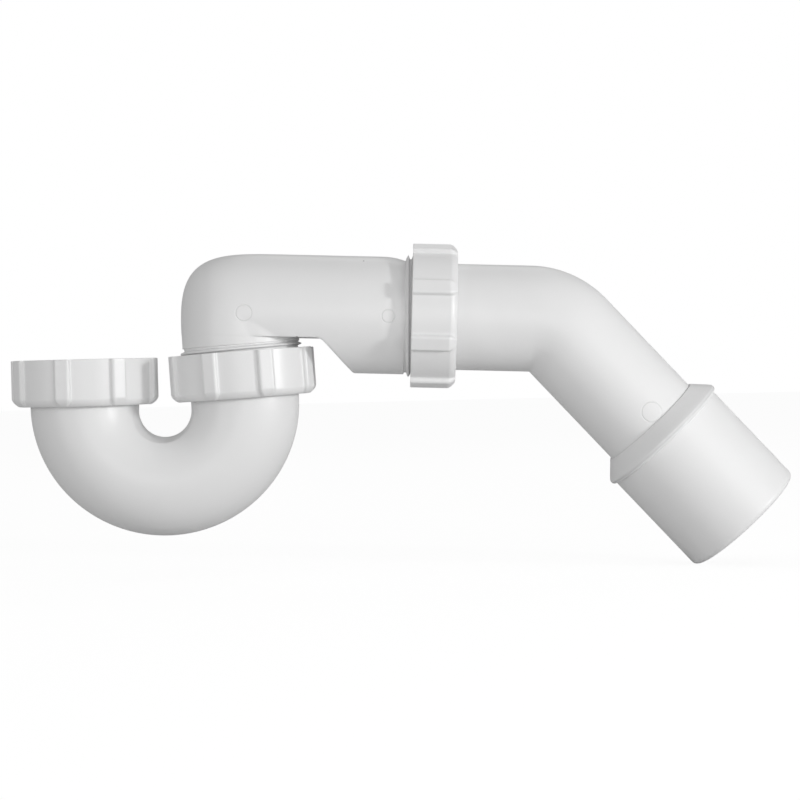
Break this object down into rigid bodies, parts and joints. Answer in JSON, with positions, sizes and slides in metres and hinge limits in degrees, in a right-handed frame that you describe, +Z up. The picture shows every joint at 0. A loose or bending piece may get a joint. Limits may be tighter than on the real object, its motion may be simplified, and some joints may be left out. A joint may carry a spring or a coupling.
{
  "type": "bath trap",
  "caption": "Low bath trap: U-bend with captive union nuts, flat-bottomed swivel elbow, compression joint, angled outlet pipe and a push-on adapter sleeve.",
  "frame": {"origin": "middle of the inlet nut's open mouth", "axes": "+Z up out of the inlet nut towards the bath, +X the way the water leaves, Y across"},
  "size_m": [0.2914, 0.0548, 0.1215],
  "materials": {
    "white_plastic": "satin moulded",
    "sleeve_rubber": "smooth white",
    "washer_rubber": "matte",
    "ring_plastic": "matte"
  },
  "bodies": {
    "trap": {"u_bend": "white_plastic", "inlet_washer": "washer_rubber"},
    "inlet_nut": {"inlet_union_nut": "white_plastic"},
    "outlet_nut": {"outlet_union_nut": "white_plastic"},
    "elbow_seat": {"elbow_washer": "washer_rubber"},
    "elbow": {"swivel_elbow": "white_plastic"},
    "seal_ring": {"slip_ring": "ring_plastic"},
    "seal_nut": {"compression_nut": "white_plastic"},
    "pipe_seal": {"cone_washer": "washer_rubber"},
    "pipe": {"outlet_pipe": "white_plastic"},
    "sleeve": {"adapter_sleeve": "sleeve_rubber"}
  },
  "joints": [
    {"name": "inlet_nut_turn", "type": "hinge", "parent": "trap", "child": "inlet_nut", "pos_m": [0, 0, -0.0087], "axis": [0, 0, 1], "continuous": true},
    {"name": "outlet_nut_turn", "type": "hinge", "parent": "trap", "child": "outlet_nut", "pos_m": [0.06012, 0, -0.00718], "axis": [0.0506, 0, -0.9987], "range_deg": [0, 540]},
    {"name": "elbow_lift", "type": "slide", "parent": "trap", "child": "elbow_seat", "axis": [-0.0506, 0, 0.9987], "range_m": [0, 0.00347]},
    {"name": "elbow_swivel", "type": "hinge", "parent": "elbow_seat", "child": "elbow", "pos_m": [0.05968, 0, 0.00151], "axis": [-0.0506, 0, 0.9987], "range_deg": [-105, 105]},
    {"name": "seal_ring_slide", "type": "slide", "parent": "elbow", "child": "seal_ring", "axis": [0.9989, 0, -0.0471], "range_m": [0, 0.00347]},
    {"name": "seal_nut_turn", "type": "hinge", "parent": "seal_ring", "child": "seal_nut", "pos_m": [0.13273, 0, 0.01301], "axis": [0.9989, 0, -0.0471], "range_deg": [0, 540]},
    {"name": "pipe_swivel", "type": "hinge", "parent": "elbow", "child": "pipe_seal", "pos_m": [0.13273, 0, 0.01301], "axis": [0.9989, 0, -0.0471], "continuous": true},
    {"name": "pipe_slide", "type": "slide", "parent": "pipe_seal", "child": "pipe", "axis": [0.9989, 0, -0.0471], "range_m": [-0.011, 0.01]},
    {"name": "sleeve_slide", "type": "slide", "parent": "pipe", "child": "sleeve", "axis": [0.673, 0, -0.7396], "range_m": [-0.01, 0.022]}
  ],
  "couplings": [
    {"joint": "elbow_lift", "follows": "outlet_nut_turn", "m_per_rad": 0.00036749},
    {"joint": "seal_ring_slide", "follows": "seal_nut_turn", "m_per_rad": 0.00036749}
  ]
}
